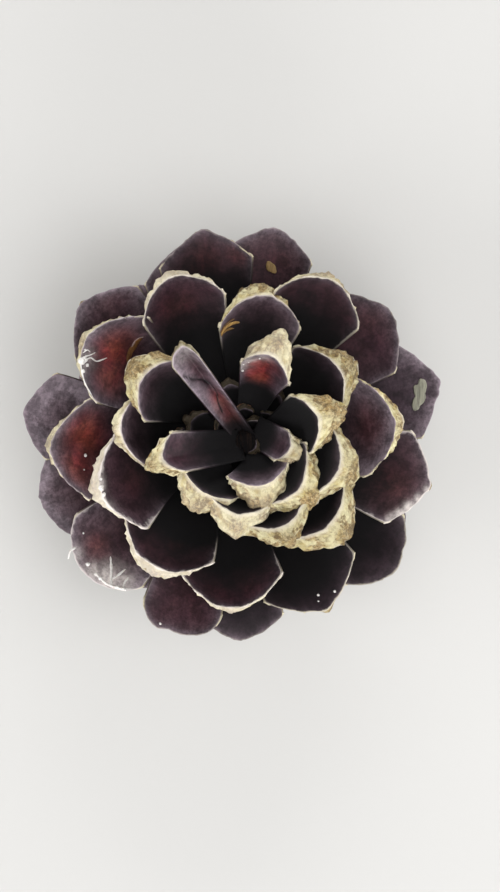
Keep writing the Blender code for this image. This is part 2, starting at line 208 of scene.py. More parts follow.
# Rings of the stalk scar, as shares of the radius, with those that stand out and how far
SCAR_RINGS = (0.12, 0.3, 0.36, 0.62, 0.9, 1.0)
RAISED_RINGS = (0, 2)
RING_HEIGHT = 0.25
AXIS_GRAIN_PER_MM = (1.6, 1.6, 0.7)
AXIS_GRAIN = 0.05
AXIS_GRAIN_FROM = 0.5

# How scales look, as shares: bloom (a greyish coat, which also paints sheen near the edges) and
# its surplus on one side (strip), red (warm tint), dark (how far the painted shade of the root
# reaches) and how suddenly it ends (step), pale (painted highlight along the edge), frost (white
# crust at the rim), cream (of the shield; none paints a hidden shield dark as shade), and how
# rough the shields are
LOOKS = {
    "dust_and_sheen": ((0, 0.3), (12, 0.2), (30, 0.25), (41, 0.5), (56, 0.7), (92, 0.5)),
    "strip": ((0, 0),),
    "red": ((0, 0.05), (30, 0.06), (60, 0.1), (92, 0.1)),
    "dark": ((0, 1.1), (22, 1.15), (29, 0.75), (40, 0.35), (60, 0.2), (92, 0.3)),
    "step": ((0, 0),),
    "pale": ((0, 0), (3, 0.3), (5, 0.6), (30, 0.9), (40, 0.6), (46, 0.22), (92, 0.3)),
    "frost": ((0, 0),),
    "cream": ((0, 0), (4, 0), (6, 0.9), (12, 0.95), (30, 0.95), (92, 0.9)),
    "rough": ((0, 1), (36, 1), (45, 0.75), (50, 0.45), (60, 0.4), (92, 0.8)),
}
OWN_LOOKS = {
    "dust_and_sheen": {3: 1, 5: 0.28, 9: 0.1, 12: 0.7, 15: 0.45, 25: 0.7, 28: 0.5, 30: 0.8, 33: 0.12,
        35: 0.4, 36: 0.02, 38: 0.7, 39: 1.6, 40: 0.1, 41: 0.2, 42: 0.05, 43: 0.65, 44: 0.35,
        45: 0.05, 46: 0.9, 47: 0.5, 48: 0.9, 49: 0.4, 50: 0.02, 51: 4, 52: 0.9, 53: 0.35, 56: 1.8,
        58: 0.1},
    "strip": {5: 0.1, 9: 0.1, 12: 0.3, 48: 0.6},
    "red": {31: 0, 42: 0, 50: 0, 52: 0, 58: 0},
    "dark": {3: 0.45, 5: 0.2, 9: 0.3, 12: -0.25, 15: 0.42, 25: 0.75, 28: 0.8, 31: 0.95, 33: 0.7,
        35: 0.5, 36: 0.9, 38: 0.1, 39: 0.4, 40: 0.85, 41: 0.9, 42: 1, 43: 0.05, 45: 0.9, 47: 0.75,
        50: 1.1, 58: 1},
    "step": {15: 0.62},
    "pale": {6: 0, 12: 0.5, 15: 0.4, 35: 1, 38: 0.2, 40: 1, 41: 0.2, 44: 0.2, 45: 1, 47: 0.9,
        48: 0.4, 50: 0.8, 53: 0.4},
    "frost": {12: 0.15, 30: 0.2, 33: 0.15, 35: 0.5, 36: 0.1, 38: 0.15, 40: 0.3, 43: 0.12, 45: 0.25,
        47: 0.3, 48: 0.3, 50: 0.1},
    "cream": {3: 1.08, 5: 1.1, 6: 1.1, 8: 1, 9: 1, 11: 1.15, 12: 0.5, 13: 0.9, 15: 1.15, 16: 0.8,
        18: 1, 21: 0.85, 30: 1.15, 31: 0.75, 33: 1.3, 35: 1.45, 36: 1.15, 38: 1.15, 39: 1, 40: 1.4,
        43: 1.2, 45: 1.35},
}
# Small scales in the shade of the others, painted dark as shade: dark faces, no pale line, no cream
for hidden in (4, 7, 10, 14, 17, 19, 20, 22, 23, 24, 26, 27, 29, 32, 37):
    for trait, value in (("dark", 1.1), ("pale", 0), ("cream", 0)):
        OWN_LOOKS[trait][hidden] = value
# Where the shade of the root ends and how softly: at no darkness, and what full darkness changes
SHADE_END = (0.1, 0.62)
SHADE_SOFTNESS = (0.65, -0.27)
# Where along a scale the painted highlight of its edge begins, and how far on it is full
RIM_HIGHLIGHT_FROM = 0.62
RIM_HIGHLIGHT_FADE = 0.25
# Warm patches on inner faces: share along and across, radius in millimetres and strength
WARM_PATCHES = {
    12: ((0.30, -0.05, 3.2, 2.2), (0.75, -0.1, 3.0, 0.15)),
    15: ((0.72, 0.33, 1.8, 1.8), (0.56, 0.25, 2.0, 2.2), (0.8, 0.0, 2.4, 0.5)),
    33: ((0.75, 0.1, 4.0, 0.2),),
    35: ((0.62, 0.15, 4.0, 0.18),),
    38: ((0.79, -0.15, 3.4, 0.95), (0.72, 0.35, 3.2, 0.75)),
    39: ((0.8, 0.0, 5.0, 0.25),),
    40: ((0.7, 0.1, 2.6, 0.16),),
    41: ((0.80, 0.10, 3.5, 0.3), (0.84, -0.7, 2.5, 0.25)),
    43: ((0.77, -0.2, 3.8, 1.0), (0.82, 0.45, 3.2, 0.8)),
    44: ((0.85, 0.2, 4.0, 0.12),),
    46: ((0.9, -0.4, 3.5, 0.22),),
    47: ((0.76, -0.35, 5.5, 0.25),),
    48: ((0.85, -0.25, 2.6, 0.4),),
    49: ((0.82, -0.3, 3.0, 0.15),),
}
# Thin whitish film of resin on inner faces, as the warm patches
FILM_PATCHES = {
    12: ((0.97, 0.0, 2.2, 0.25),),
    15: ((0.84, 0.7, 1.3, 0.5), (0.72, 0.95, 1.3, 0.6), (0.9, 0.3, 1.2, 0.3)),
    35: ((0.985, -0.05, 1.2, 0.8), (0.99, 0.5, 1.5, 0.3)),
    38: ((0.985, 0.45, 1.5, 0.6), (0.98, 0.8, 1.6, 0.4), (0.93, 0.25, 1.4, 0.3)),
    47: ((0.99, -0.1, 0.7, 0.7), (0.955, -0.35, 0.8, 1.0), (0.92, -0.55, 0.9, 1.2),
         (0.885, -0.73, 0.8, 1.2), (0.845, -0.87, 0.7, 1.0)),
    48: ((0.93, 0.4, 2.4, 1.0), (0.88, 0.62, 2.0, 0.7), (0.97, 0.75, 1.8, 1.2),
         (0.96, 0.1, 1.7, 0.8), (0.97, -0.45, 1.2, 0.5)),
}
# Open cracks in inner faces, through shares along and across
CRACKS = {
    12: ((0.80, 0.80), (0.71, 0.5), (0.64, 0.11), (0.57, -0.04), (0.53, -0.13), (0.455, -0.05),
         (0.395, 0.15), (0.30, 0.29)),
}
CRACK_WIDTH = 0.15
CRACK_DEPTH = 0.25

# Resin drops: for each scale, share along and across and radius
RESIN_DROPS = {
    15: ((0.895, 0.4, 0.15), (0.7, 0.88, 0.2), (0.845, 0.88, 0.14), (0.84, 0.72, 0.1)),
    35: ((0.99, 0.08, 0.34), (0.985, -0.22, 0.24), (0.995, -0.06, 0.5)),
    38: ((0.995, 0.46, 0.6), (0.967, 0.40, 0.5), (0.94, 0.46, 0.3), (0.975, 0.22, 0.2),
         (0.99, 0.62, 0.35)),
    43: ((0.77, 0.19, 0.26), (0.82, 0.46, 0.13)),
    48: ((0.95, -0.08, 0.36), (0.895, -0.61, 0.16), (0.98, 0.66, 0.36), (0.99, 0.8, 0.26),
         (0.96, 0.3, 0.3)),
    50: ((0.895, -0.01, 0.22), (0.955, 0.31, 0.22), (0.93, -0.06, 0.14)),
    53: ((0.97, -0.45, 0.22),),
}
# Resin threads and thorns: scale, radius, then share along and across and height
RESIN_THREADS = (
    (38, 0.11, (0.95, 0.36, 0.3), (0.925, 0.29, 0.3), (0.87, 0.29, 0.1), (0.81, 0.1, 0.1)),
    (38, 0.11, (0.97, 0.34, 0.3), (0.935, 0.25, 0.5), (0.905, 0.15, 0.2)),
    (38, 0.08, (0.99, 0.3, 0.2), (0.975, 0.2, 0.5), (0.94, 0.2, 0.2)),
    (38, 0.14, (0.995, 0.4, 0.0), (1.0, 0.6, 0.0), (1.0, 0.8, 0.0), (0.99, 0.95, 0.0)),
    (48, 0.21, (0.97, 0.55, -0.1), (0.93, 0.45, -0.1), (0.87, 0.3, -0.12), (0.81, 0.08, -0.2)),
    (48, 0.2, (0.94, 0.47, -0.1), (0.88, 0.5, -0.1), (0.82, 0.52, -0.18)),
    (48, 0.18, (0.98, 0.75, -0.1), (0.92, 0.68, -0.1), (0.86, 0.66, -0.18)),
    (48, 0.22, (0.955, 0.15, -0.1), (0.975, 0.45, 0.05), (0.985, 0.7, 0.05), (0.985, 0.9, -0.1)),
    (48, 0.17, (0.97, -0.5, -0.1), (1.01, -0.52, -0.1), (1.04, -0.42, -0.2)),
)
# Scraps of seed wings and scars: scale, share along and across of both ends, width, curl, colour
SCRAPS = (
    (28, (0.86, 1.0), (0.80, 0.48), 0.8, 0.3, (0.34, 0.20, 0.06)),
    (28, (0.84, 1.0), (0.76, 0.62), 0.6, 0.2, (0.20, 0.11, 0.03)),
    (28, (0.88, 1.0), (0.86, 0.62), 0.5, 0.1, (0.12, 0.06, 0.02)),
    (38, (0.675, -0.08), (0.755, -0.68), 1.0, 0.2, (0.13, 0.055, 0.016)),
    (38, (0.735, -0.40), (0.765, -0.72), 0.4, 0.3, (0.30, 0.21, 0.19)),
    (49, (0.815, 0.02), (0.77, -0.24), 1.2, 0.1, (0.24, 0.155, 0.06)),
    (52, (0.905, 0.12), (0.875, -0.46), 2.2, 0.05, (0.24, 0.235, 0.18)),
)

# Where drops, threads and scraps may lie: how far along and across an inner face, as shares, and
# the share between the places that give its directions
FACE_LIMITS = (0.995, 0.98)
FACE_STEP = 0.02
# Their skins: rings or steps, sides, height over the face, size of lumps in millimetres or, for
# drops, radii, and how far the lumps and the sway of scraps go, as shares of the width
DROP_RINGS, DROP_SIDES = 9, 14
DROP_RAISED = 0.3
DROP_HEIGHT = 0.85
DROP_LUMP_SIZE, DROP_LUMPS = 0.7, 0.28
THREAD_STEPS, THREAD_SIDES = 6, 7
THREAD_SMOOTHINGS = 4
THREAD_LUMP_SIZE, THREAD_LUMPS = 0.45, 0.45
SCRAP_RINGS, SCRAP_SIDES = 17, 10
SCRAP_RAISED = 0.1
SCRAP_THICKNESS = 0.06
SCRAP_SWAY_SIZE, SCRAP_SWAY = 1.5, 0.25
SCRAP_LUMP_SIZE, SCRAP_LUMPS = 0.5, 0.35
AXIS_SEED, DROP_SEED, THREAD_SEED, SWAY_SEED, SCRAP_SEED = (
    VARIATION_SEED + more for more in (2000, 3000, 3100, 3150, 3200))

# The camera, in metres and degrees, its lens and sensor in millimetres: where it looks, and how it
# leans from straight above
CAMERA_AIM = (0.0, 0.0, 0.026)
CAMERA_DISTANCE = 0.50
CAMERA_TILT = 5.8
CAMERA_LEAN = 150.0
CAMERA_LENS = 125.93
CAMERA_SENSOR = 36
CAMERA_CLIP = (0.01, 30)
CAMERA_SHIFT = (0.01725, -0.01070)

# The stage, in metres: half the floor, the sky, what the lights face, and each light's place, size
# and its power as a share of the property named
FLOOR_HALF = 6.0
SKY_COLOUR = (1.0, 0.99, 0.97, 1.0)
LIGHTS_AIM = (0, 0, 0.03)
LIGHTS = {
    "key_light": ((0.05, -0.08, 0.64), 0.42, "key_power", 1.0),
    "ceiling_light": ((0.4, -0.6, 5.0), 6.0, "ceiling_power", 1.0),
    "fill_left": ((-0.55, -0.14, 0.26), 0.45, "fill_power", 1.25),
    "fill_right": ((0.55, -0.06, 0.24), 0.45, "fill_power", 1.0),
    "fill_far": ((0.04, 0.55, 0.26), 0.45, "fill_power", 0.9),
    "fill_near": ((0.06, -0.56, 0.26), 0.45, "fill_power", 1.0),
}

# Skin kinds, which are also the material slots of a scale piece
SCALE_MATERIALS = ("scale_inner_face", "scale_shield", "scale_outer_face")
INNER, SHIELD_FACE, OUTER = range(3)


def curve(points, number):
    """Value of the smooth curve through points at a scale's number."""
    last = len(points) - 1
    if number <= points[0][0]:
        return points[0][1]
    if number >= points[last][0]:
        return points[last][1]
    k = max(j for j in range(last) if points[j][0] <= number)

    def slope(j):
        low, high = max(j - 1, 0), min(j + 1, last)
        return (points[high][1] - points[low][1]) / (points[high][0] - points[low][0])

    (x0, y0), (x1, y1) = points[k], points[k + 1]
    h = x1 - x0
    t = (number - x0) / h
    return ((2 * t**3 - 3 * t**2 + 1) * y0 + (t**3 - 2 * t**2 + t) * h * slope(k)
            + (3 * t**2 - 2 * t**3) * y1 + (t**3 - t**2) * h * slope(k + 1))


def share(value):
    """The value, held between 0 and 1."""
    return max(0.0, min(1.0, value))


def grow_scale(number):
    """Place and size of one scale, in degrees and millimetres."""
    scale = {trait: curve(points, number) for trait, points in GROWTH.items()}
    azimuth = FIRST_AZIMUTH - GOLDEN_ANGLE * number
    sagged = share((number - SAG_FROM) / SAG_FADE)
    azimuth += sagged * (SAG_AZIMUTH - SAG * math.cos(math.radians(azimuth)))
    opened = math.cos(math.radians(azimuth - OPEN_AZIMUTH))
    first, last = OPEN_SCALES
    opened *= share((number - first) / OPEN_FADE) * share((last - number) / OPEN_FADE)
    scale["rise"] -= OPEN_RISE * opened
    scale |= {"number": number, "azimuth": azimuth, "roll": 0, "point": 0, "skew": 0, "fold": 0,
              "offset": 0, "corner": -0.2 * share((BLUNT_BEFORE - number) / 10)}
    draw = random.Random(VARIATION_SEED + number)
    for trait, ends in STRAY.items():
        drawn = draw.uniform(*ends)
        scale[trait] = scale[trait] * drawn if trait in STRAY_FACTORS else scale[trait] + drawn
    own = {trait: values[number] for trait, values in OWN_GROWTH.items() if number in values}
    scale["azimuth"] += own.pop("turn", 0)
    scale["rise"] -= own.pop("lean", 0)
    return scale | own


def look(trait, number):
    """One trait of a scale's colour: its own share, or that of the curve through all scales."""
    return OWN_LOOKS.get(trait, {}).get(number, curve(LOOKS[trait], number))


def colour_property(name, description, default):
    """Property for a colour."""
    return FloatVectorProperty(name=name, description=description, subtype="COLOR", size=3,
                               min=0, max=1, default=default)


def power_property(name, description, default, most):
    """Property for the power of a light."""
    return FloatProperty(name=name, description=description, unit="POWER", min=0, max=most,
                         default=default)


class ConeLooks(bpy.types.PropertyGroup):
    """Sizes and colours of the cone that a user may change."""
    inner_colour: colour_property(
        "Inner face", "Plum brown of the faces that look up the cone", (0.025, 0.0115, 0.018))
    # Painted shade: near-black laid towards the root on faces and blades, in cracks and on the axis
    root_shade_colour: colour_property("Root", "Dark wood near the axis", (0.003, 0.0025, 0.003))
    warm_colour: colour_property(
        "Warm middle", "Red brown in the middle of some faces", (0.20, 0.019, 0.015))
    # Greyish coat near the edges, whose colour also paints the sheen of light there
    dust_and_sheen_colour: colour_property(
        "Bloom", "Greyish purple dust near the edges", (0.207, 0.165, 0.192))
    # Painted highlight: the pale line along every edge and the white of the shield rims
    rim_highlight_colour: colour_property("Edge", "Pale worn line along every edge", (0.60, 0.55, 0.44))
    shield_colour: colour_property("Shield", "Cream of the thick scale ends", (0.49, 0.425, 0.275))
    stain_colour: colour_property(
        "Stain", "Tan of the boss and of the low places on the shields", (0.24, 0.145, 0.05))
    speck_colour: colour_property(
        "Specks", "Olive brown specks on the shields", (0.075, 0.052, 0.025))
    back_colour: colour_property(
        "Outer face", "Brown of the blades seen from below", (0.16, 0.085, 0.05))
    lump_height: FloatProperty(
        name="Lump height", description="Height of the lumps on the shields",
        unit="LENGTH", min=0, max=0.001, default=LUMP_HEIGHT * MM)
    resin_colour: colour_property("Resin", "Dried resin drops and threads", (0.66, 0.64, 0.62))
    frost_colour: colour_property("Crust", "White crust along some rims", (0.70, 0.64, 0.61))


class StageLooks(bpy.types.PropertyGroup):
    """Floor and light of the plain stage."""
    floor_colour: colour_property("Floor", "Colour of the plain floor", (0.45, 0.445, 0.435))
    key_power: power_property("Key light", "Power of the light above", 1.7, 100)
    ceiling_power: power_property(
        "Ceiling light", "Power of the very large light high above", 90.0, 1000)
    fill_power: power_property("Fill light", "Power of each low light", 2.6, 100)
    sky: FloatProperty(
        name="Sky", description="Strength of the even light from all sides",
        min=0, max=2, default=0.22)


def value_noise(places, seed):
    """Smooth noise from -1 to 1 at each place, one unit from bump to bump."""
    cell = np.floor(places).astype(np.int64)
    part = places - cell
    part = part * part * (3 - 2 * part)
    total = np.zeros(len(places))
    mixer, whole = 1274126177, 0xFFFFFFFF
    for corner in range(8):
        step = np.array(((corner >> 0) & 1, (corner >> 1) & 1, (corner >> 2) & 1))
        x, y, z = (cell + step).T
        mixed = (x * 374761393 + y * 668265263 + z * 1442695041 + seed * mixer) & whole
        mixed = ((mixed ^ (mixed >> 13)) * mixer) & whole
        weight = np.prod(np.where(step, part, 1 - part), axis=1)
        total += weight * (mixed ^ (mixed >> 16)) / whole
    return 2 * total - 1


def scale_lattice(root_steps):
    """The grid that wraps a scale.

    Gives the row, column and depth step of its corners, its quads, the face that closes its root,
    and the kind of every face.
    """
    shape = (len(RIM_STEPS) + root_steps, 2 * len(SIDE_STEPS) + MIDDLE_STEPS, DEPTH_STEPS + 1)
    grid = np.arange(math.prod(shape)).reshape(shape)
    faces, kinds = [], []
    # Every sheet's corners turn from its first direction to its second, seen from outside
    for kind, sheet in ((INNER, grid[:, :, 0].T), (OUTER, grid[:, :, -1]), (OUTER, grid[:, 0]),
                        (OUTER, grid[:, -1].T), (SHIELD_FACE, grid[0].T)):
        faces.append(np.stack((sheet[:-1, :-1], sheet[1:, :-1], sheet[1:, 1:], sheet[:-1, 1:]),
                              -1).reshape(-1, 4))
        kinds += [kind] * len(faces[-1])
    used, quads = np.unique(np.concatenate(faces), return_inverse=True)
    end = grid[-1]
    root = np.concatenate((end[:, 0], end[-1, 1:], end[-2::-1, -1], end[0, -2:0:-1]))
    corners = np.stack(np.unravel_index(used, shape), 1)
    return corners, quads.reshape(-1, 4), np.searchsorted(used, root), kinds + [OUTER]


def skin_shares(scale, corners, root_steps):
    """Share along, across and in depth of every corner of the lattice on one scale."""
    reach = scale["length"] + ROOT_SUNK
    rim = np.array(RIM_STEPS) * min(1, RIM_SHARE * reach / RIM_STEPS[-1]) / reach
    behind = (1 - rim[-1]) * (1 - np.arange(1, root_steps + 1) / root_steps)
    along = np.concatenate((1 - rim, behind))
    half = scale["width"] / 2
    side = np.array(SIDE_STEPS) * min(1, SIDE_SHARE * half / SIDE_STEPS[-1]) / half
    even = (1 - side[-1]) * np.linspace(-1, 1, MIDDLE_STEPS + 2)[1:-1]
    across = np.concatenate((side - 1, even, 1 - side[::-1]))
    return along[corners[:, 0]], across[corners[:, 1]], corners[:, 2] / DEPTH_STEPS


def turned(first, second, angle):
    """Places in a plane, as their parts in two directions, turned by an angle."""
    return (first * np.cos(angle) - second * np.sin(angle),
            first * np.sin(angle) + second * np.cos(angle))


def scale_skin(scale, along, across, depth):
    """Skin of one scale by the growth rule, in millimetres, and where each point lies on it.

    The fine skin has thinner sides than the solid, rounded rims and gentle waves.
    """
    length, half, root = scale["length"], scale["width"] / 2, scale["root"]
    side, nothing = np.abs(across), np.zeros_like(across)
    seed = VARIATION_SEED + 40 * scale["number"]
    fold, roll, bend = (math.radians(scale[trait]) for trait in ("fold", "roll", "bend"))

    # Plan, with a slightly uneven front: waves of two sizes, which fade out behind it
    widest = 1 - FRONT * scale["width"] / length

    def front_at(side):
        return (1 - widest) * (1 - side ** scale["point"]) ** scale["corner"]

    front = widest + front_at(side)
    start = -ROOT_SUNK / length
    u = start + (front - start) * along
    wide = half * (root + (1 - root) * (1 - (1 - np.clip(u / widest, 0, 1)) ** WIDENING))
    y = wide * across
    line = np.stack((y, nothing, nothing), 1) / RIM_WAVE_SIZE
    uneven = value_noise(line, seed) + 0.5 * value_noise(line / 0.4, seed + 1)
    front_mm, side_mm = length * (front - u), wide * (1 - side)
    fading = (1 - side ** 4) * np.exp(-front_mm / RIM_WAVE_REACH)
    u = u + RIM_WAVE_HEIGHT * uneven * fading / length
    outline = np.linspace(0, 1, OUTLINE_STEPS + 1)
    slope = np.abs(np.gradient(length * front_at(outline), half / OUTLINE_STEPS))
    edge_mm = np.minimum(front_mm / np.hypot(1, np.interp(side, outline, slope)), side_mm)
    grown = np.clip(u, 0, 1)

    # Thickness
    on_shield = 1 - np.clip(front_mm / SHIELD_REACH, 0, 1)
    blade = BLADE_AT_ROOT + (BLADE_AT_END - BLADE_AT_ROOT) * np.clip(u / BLADE_EVEN_FROM, 0, 1)
    blade = blade * (1 - BLADE_THINNING * side ** 2)
    shield = (1 - side ** SHIELD_OUTLINE) ** scale["taper"]
    shield = FINE_EDGE + (scale["shield"] - FINE_EDGE) * shield
    thick = blade + (shield - blade) * (1 - (1 - on_shield) ** SHIELD_ONSET)
    thick = np.maximum(thick, FINE_EDGE)
    rounding = 0.3 * RIM_ROUNDING * np.clip(1 - edge_mm / (0.8 * RIM_ROUNDING), 0, 1) ** 2
    below = (thick * depth + np.where(depth < 0.5, 1, -1) * rounding) / math.cos(fold)

    # Shield face, rounded towards its upper rim and at the sides
    push = scale["bulge"] * thick * np.sin(np.pi * depth) * (1 - 0.5 * side)
    push = (push - math.tan(math.radians(scale["undercut"])) * below) * on_shield
    rounding = np.clip(1 - below / RIM_ROUNDING, 0, 1) ** 2
    push = push - 0.3 * RIM_ROUNDING * (front_mm < 0.01) * rounding
    y = y + scale["skew"] * half * grown ** 2
    half_round = 1 - np.sqrt(np.clip(1 - (2 * depth - 1) ** 2, 0, 1))
    at_side = np.clip(1 - side_mm / SIDE_ROUNDING_REACH, 0, 1) ** 2
    y = y - np.sign(across) * SIDE_ROUNDING * thick * half_round * at_side

    # Cupped, waved, or folded along its midline
    wave = value_noise(np.stack((y, u * length, nothing), 1) / WAVE_SIZE, seed + 2)
    lift = scale["cup"] * 2 * y ** 2 / half * (CUP_AT_ROOT + (1 - CUP_AT_ROOT) * grown)
    lift = lift + np.abs(y) * math.sin(fold) - below + WAVE_HEIGHT * wave * grown
    place = np.stack((y, u * length, -below), 1)
    y, lift = turned(y * math.cos(fold), lift, roll)

    # Bent upwards along its length, and set on the axis
    start = math.radians(scale["rise"]) - bend / 2
    angle, radius = start + bend * u, length / bend
    push, lift = turned(push, lift, angle)
    out = radius * (np.sin(angle) - math.sin(start)) + push
    up = radius * (math.cos(start) - np.cos(angle)) + lift
    x, y = turned(scale["axis"] + out, y + scale["offset"], math.radians(scale["azimuth"]))
    return np.stack((x, y, scale["height"] + up), 1), {
        "place": place, "across": across, "front_mm": front_mm, "edge_mm": edge_mm, "side": side,
        "depth": depth, "thick": thick, "along": np.clip(u / front, 0, 1)}


def corner_normals(points, quads):
    """Outward direction at each point of a grid of quads."""
    a, b, c, d = (points[quads[:, k]] for k in range(4))
    flat = np.cross(c - a, d - b)
    total = np.zeros_like(points)
    for k in range(4):
        np.add.at(total, quads[:, k], flat)
    length = np.linalg.norm(total, axis=1, keepdims=True)
    return total / np.maximum(length, 1e-12)


def bell(distance, width):
    """From 1 at no distance down to 0 at a few widths."""
    return np.exp(-(distance / width) ** 2)


def skin_relief(scale, facts, front_row, lump_height):
    """Relief at each point of the skin in millimetres, with its share of boss and of lump."""
    place, deep, front_mm = facts["place"], facts["depth"], facts["front_mm"]
    seed = VARIATION_SEED + scale["number"]
    on_shield = front_row & (deep > 0) & (deep < 1)
    part = np.where(on_shield, 0.35 + 0.65 * np.clip(3 * deep, 0, 1),
                    np.where(deep < 0.5, 0.3 * bell(front_mm, RELIEF_ON_INNER),
                             bell(front_mm, RELIEF_ON_BACK)))
    part = part * np.clip(facts["thick"] / FULL_RELIEF_THICKNESS, 0.2, 1)
    lumps = 2 * np.abs(value_noise(place / LUMP_SIZE, seed)) - 0.7
    grit = value_noise(place / GRIT_SIZE, seed + 500)
    relief = part * look("rough", scale["number"]) * (lump_height * lumps + GRIT_HEIGHT * grit)

    middle = facts["thick"] * (deep - BOSS_DEPTH)
    radius = np.hypot(place[:, 0], middle)
    grown = min(1, scale["shield"] / FULL_BOSS_SHIELD)
    size = BOSS_RADIUS * grown
    boss = bell(radius, size) - 0.5 * bell(radius, 0.35 * size) - 0.3
    keel = bell(middle, KEEL_WIDTH) * (1 - facts["side"])
    relief += on_shield * grown * (BOSS_HEIGHT * boss + KEEL_HEIGHT * keel)
    inner = (deep == 0) & ~front_row
    grain = FACE_GRAIN * value_noise(place * GRAIN_PER_MM, seed + 900)
    relief += inner * (grain - CRACK_DEPTH * crack_share(scale, place))
    return relief, front_row * bell(radius, 1.5 * size), lumps


def crack_share(scale, place):
    """How near each place is to a crack in the scale's inner face, from 0 to 1."""
    most = np.zeros(len(place))
    path = np.array(CRACKS.get(scale["number"], ()))
    for start, end in zip(path, path[1:]):
        start, end = (spot[::-1] * (scale["width"] / 2, scale["length"]) for spot in (start, end))
        step = end - start
        part = np.clip((place[:, :2] - start) @ step / (step @ step), 0, 1)
        far = np.linalg.norm(place[:, :2] - start - part[:, None] * step, axis=1)
        most = np.maximum(most, bell(far, CRACK_WIDTH))
    return most


def patch_share(patches, scale, place, base):
    """Strength of the scale's soft patches at each place of its inner face, at least the base."""
    most = np.full(len(place), base)
    for along, across, radius, strength in patches.get(scale["number"], ()):
        far = np.hypot(place[:, 0] - across * scale["width"] / 2,
                       place[:, 1] - along * scale["length"])
        most = np.maximum(most, strength * bell(far, radius))
    return most


def scale_marks(scale, facts, boss, lumps):
    """What each point of a scale keeps for its materials."""
    number, place, along = scale["number"], facts["place"], facts["along"]
    dust_and_sheen, strip, red, dark, step, pale, frost, cream = (look(trait, number) for trait in (
        "dust_and_sheen", "strip", "red", "dark", "step", "pale", "frost", "cream"))
    shade_end, softness = (even + change * dark for even, change in (SHADE_END, SHADE_SOFTNESS))
    # The painted highlight along the edge is strongest at the front, weaker at the sides and gone
    # below the corners
    highlit = np.clip((along - max(RIM_HIGHLIGHT_FROM, scale["corner"] - 0.12)) / RIM_HIGHLIGHT_FADE, 0, 1)
    return {
        "place": place + (0, 0, 60 * number),
        "front_mm": facts["front_mm"],
        "edge_mm": facts["edge_mm"],
        "below_mm": -place[:, 2],
        "along": along,
        "boss": boss,
        "lump": lumps,
        # Greyish coat with painted sheen, heavier on one side where strip is given
        "dust_and_sheen": dust_and_sheen + strip * np.clip(4 * facts["across"] - 0.6, 0, 1),
        "red": patch_share(WARM_PATCHES, scale, place, red),
        "film": patch_share(FILM_PATCHES, scale, place, 0.0),
        "frost": frost * np.clip(5 * along - 3.2, 0, 1),
        "crack": crack_share(scale, place),
        "cream": np.full(len(place), cream),
        # How far each point is out of the painted shade of the root
        "lit": (along - shade_end) / (softness * (1 - step)),
        "pale": pale * highlit * (1 - 0.5 * facts["side"] ** 4),
    }


def scale_piece(name, lump_height):
    """The fine scales of one group as one piece."""
    skins, kinds, marks = [], [], {}
    for number in range(*SCALE_GROUPS[name]):
        scale = grow_scale(number)
        root_steps = CRACKED_ROOT_STEPS if number in CRACKS else ROOT_STEPS
        corners, quads, root, its_kinds = scale_lattice(root_steps)
        skin, facts = scale_skin(scale, *skin_shares(scale, corners, root_steps))
        relief, boss, lumps = skin_relief(scale, facts, corners[:, 0] == 0, lump_height / MM)
        skin = skin + corner_normals(skin, quads) * relief[:, None]
        skin[:, 2] = np.maximum(skin[:, 2], 0)
        skins.append((skin, [*quads.tolist(), root.tolist()]))
        kinds += its_kinds
        for key, values in scale_marks(scale, facts, boss, lumps).items():
            marks.setdefault(key, []).append(values)
    add_piece(name, skins, SCALE_MATERIALS, marks, kinds)


def add_piece(name, skins, materials, marks, kinds=None, replaced=True):
    """One object of some skins, in millimetres, that rides with the cone.

    Each skin has its part of every mark, which its materials read. A piece stands for the solid
    where it replaces it.
    """
    points, faces = [], []
    for its_points, its_faces in skins:
        start = sum(map(len, points))
        points.append(its_points)
        faces += [[start + corner for corner in face] for face in its_faces]
    mesh = bpy.data.meshes.new(name)
    mesh.from_pydata((np.concatenate(points) * MM).tolist(), [], faces)
    for key, values in ({"place": points} | marks).items():
        values = np.concatenate(values).astype(np.float32)
        vector = values.ndim == 2
        layer = mesh.attributes.new(key, "FLOAT_VECTOR" if vector else "FLOAT", "POINT")
        layer.data.foreach_set("vector" if vector else "value", values.ravel())
    for material in materials:
        mesh.materials.append(material_named(material))
    mesh.polygons.foreach_set("material_index", kinds or [0] * len(faces))
    mesh.polygons.foreach_set("use_smooth", [True] * len(faces))
    mesh.update()
    piece = bpy.data.objects.new(name, mesh)
    bpy.context.scene.collection.objects.link(piece)
    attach(piece, "root")
    if replaced:
        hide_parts(NODE)


def oval_skin(centres, first, second, wide, high, sides):
    """Closed skin of oval rings round a path, as points and faces."""
    angle = 2 * math.pi * np.arange(sides) / sides
    ring = (np.cos(angle)[None, :, None] * (wide[:, None] * first)[:, None]
            + np.sin(angle)[None, :, None] * (high[:, None] * second)[:, None])
    points = (centres[:, None] + ring).reshape(-1, 3)
    last = sides * (len(centres) - 1)
    faces = [[n + k, n + (k + 1) % sides, n + sides + (k + 1) % sides, n + sides + k]
             for n in range(0, last, sides) for k in range(sides)]
    return points, faces + [list(range(sides - 1, -1, -1)), list(range(last, last + sides))]


